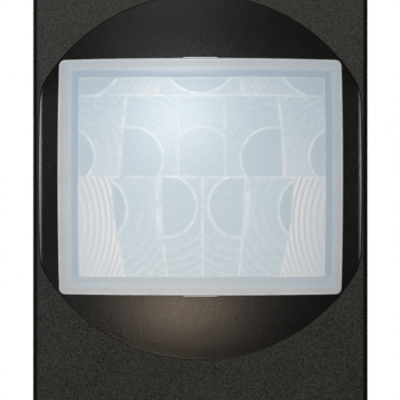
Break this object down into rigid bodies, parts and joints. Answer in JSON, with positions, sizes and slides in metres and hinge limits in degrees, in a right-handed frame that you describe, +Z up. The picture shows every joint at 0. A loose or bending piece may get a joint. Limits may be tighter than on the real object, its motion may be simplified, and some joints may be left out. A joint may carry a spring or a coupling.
{
  "type": "motion sensor light switch",
  "caption": "Wall switch with a flat dark face, a pressed dome cut flat at its sides and a faceted motion sensor lens, on a steel strap with a wall-box housing behind.",
  "frame": {"origin": "middle of the strap's back face, on the wall plane, half way between the two wall-box holes", "axes": "+X to the right seen from the front, +Y into the wall, so that the front looks along -Y, +Z up"},
  "size_m": [0.045, 0.0488, 0.106],
  "materials": {
    "face_plastic": "fine moulded grain, matte graphite",
    "head_plastic": "smooth satin graphite",
    "lens_plastic": "milky translucent moulded lens",
    "spring_steel": "drawn wire",
    "black_plastic": "moulded",
    "grey_plastic": "moulded",
    "housing_plastic": "moulded, light texture",
    "zinc_steel": "zinc plated",
    "board_laminate": "solder mask",
    "insulating_paper": "pressed sheet",
    "can_metal": "plated can",
    "filter_glass": "dark infrared filter",
    "tinned_wire": "tinned",
    "led_resin": "clear resin",
    "white_plastic": "moulded",
    "blue_plastic": "moulded",
    "yellow_plastic": "potted box",
    "sleeve_plastic": "shrink sleeve",
    "ferrite": "sintered core",
    "winding_tape": "taped winding",
    "brown_plastic": "moulded",
    "brass_plate": "stamped",
    "brass_screw": "turned",
    "green_steel": "green passivated"
  },
  "bodies": {
    "base": {"front_cover": "face_plastic", "return_springs": "spring_steel", "light_baffle": "black_plastic", "chassis": "grey_plastic", "yoke": "zinc_steel", "rear_housing": "housing_plastic", "housing_screws": "zinc_steel", "sensor_board": "board_laminate", "insulator": "insulating_paper", "pir_can": "can_metal", "pir_window": "filter_glass", "pir_leads": "tinned_wire", "status_led": "led_resin", "light_cell": "black_plastic", "control_chips": "black_plastic", "tact_switch": "black_plastic", "time_trimmer": "blue_plastic", "level_trimmer": "blue_plastic", "mode_switch": "black_plastic", "power_board": "board_laminate", "relay": "black_plastic", "film_capacitor": "yellow_plastic", "bulk_capacitor": "sleeve_plastic", "transformer_core": "ferrite", "transformer_coil": "winding_tape", "varistor": "blue_plastic", "fuse": "brown_plastic", "header_base": "black_plastic", "header_pins": "brass_plate", "header_socket": "black_plastic", "terminal_plates": "brass_plate", "terminal_clamps": "brass_plate", "terminal_screws": "brass_screw", "ground_screw": "green_steel"},
    "head": {"sensor_head": "head_plastic", "fresnel_lens": "lens_plastic"},
    "plunger": {"tact_plunger": "white_plastic"},
    "time_knob": {"time_dial": "white_plastic"},
    "level_knob": {"level_dial": "white_plastic"},
    "mode_knob": {"mode_slider": "white_plastic"}
  },
  "joints": [
    {"name": "head_press", "type": "slide", "parent": "base", "child": "head", "axis": [0, 1, 0], "range_m": [0, 0.0008], "stiffness_N_per_m": 1500, "springref_m": -0.001, "deforming": ["return_springs"]},
    {"name": "plunger_press", "type": "slide", "parent": "base", "child": "plunger", "axis": [0, 1, 0], "range_m": [0, 0.0008]},
    {"name": "time_dial_turn", "type": "hinge", "parent": "base", "child": "time_knob", "pos_m": [-0.0095, 0, -0.0248], "axis": [0, -1, 0], "range_deg": [-135, 135]},
    {"name": "level_dial_turn", "type": "hinge", "parent": "base", "child": "level_knob", "pos_m": [0.0095, 0, -0.0248], "axis": [0, -1, 0], "range_deg": [-135, 135]},
    {"name": "mode_slide", "type": "slide", "parent": "base", "child": "mode_knob", "axis": [1, 0, 0], "range_m": [0, 0.002]}
  ],
  "couplings": [
    {"joint": "plunger_press", "follows": "head_press", "ratio": 1}
  ]
}
